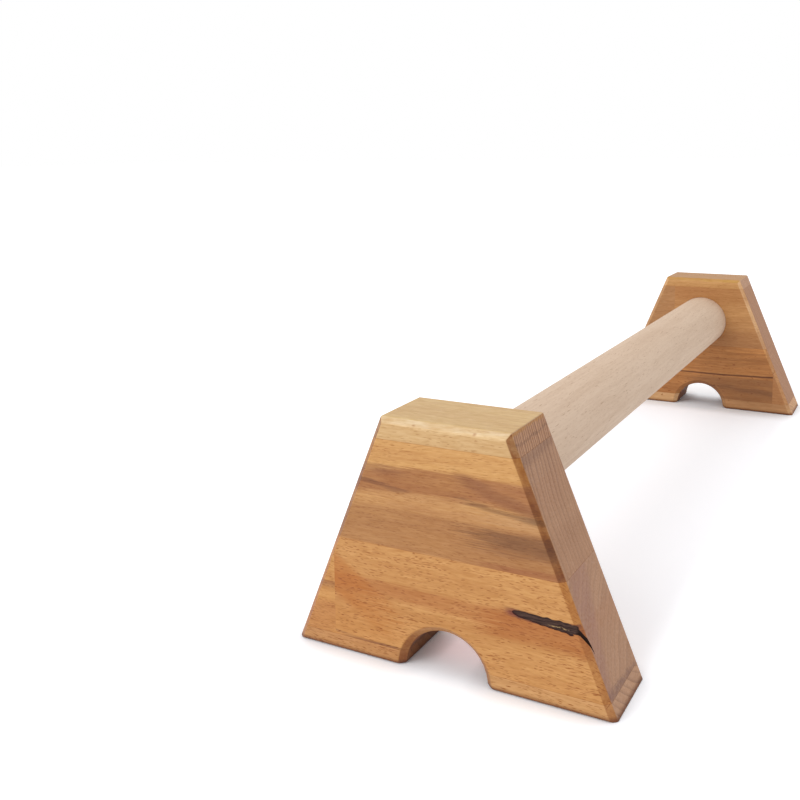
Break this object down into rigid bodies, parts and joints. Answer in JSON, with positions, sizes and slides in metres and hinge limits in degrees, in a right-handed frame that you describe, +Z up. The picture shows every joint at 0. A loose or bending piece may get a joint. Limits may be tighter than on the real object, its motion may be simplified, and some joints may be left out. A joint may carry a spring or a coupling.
{
  "type": "parallette bar",
  "caption": "Low wooden parallette bar: a round beech bar set between two trapezoid end blocks with arched feet, for push-ups, L-sits and handstands on the floor.",
  "frame": {"origin": "on the floor, in the middle of the footprint", "axes": "+Y along the bar from the front block to the rear block, +Z up, +X to the right seen from the front"},
  "size_m": [0.15, 0.53, 0.11],
  "materials": {
    "block_beech": "oiled beech, satin",
    "bar_beech": "raw sanded beech, matt",
    "screw_steel": "yellow zinc plated"
  },
  "bodies": {
    "root": {"grip_bar": "bar_beech", "front_block_top_stave": "block_beech", "front_block_upper_stave": "block_beech", "front_block_lower_stave": "block_beech", "front_block_lower_stave_end": "block_beech", "front_block_left_foot": "block_beech", "front_block_right_foot": "block_beech", "front_block_lock_screw": "screw_steel", "rear_block_top_stave": "block_beech", "rear_block_upper_stave": "block_beech", "rear_block_upper_stave_end": "block_beech", "rear_block_lower_stave": "block_beech", "rear_block_lower_stave_end": "block_beech", "rear_block_left_foot": "block_beech", "rear_block_right_foot": "block_beech", "rear_block_lock_screw": "screw_steel"}
  },
  "joints": []
}
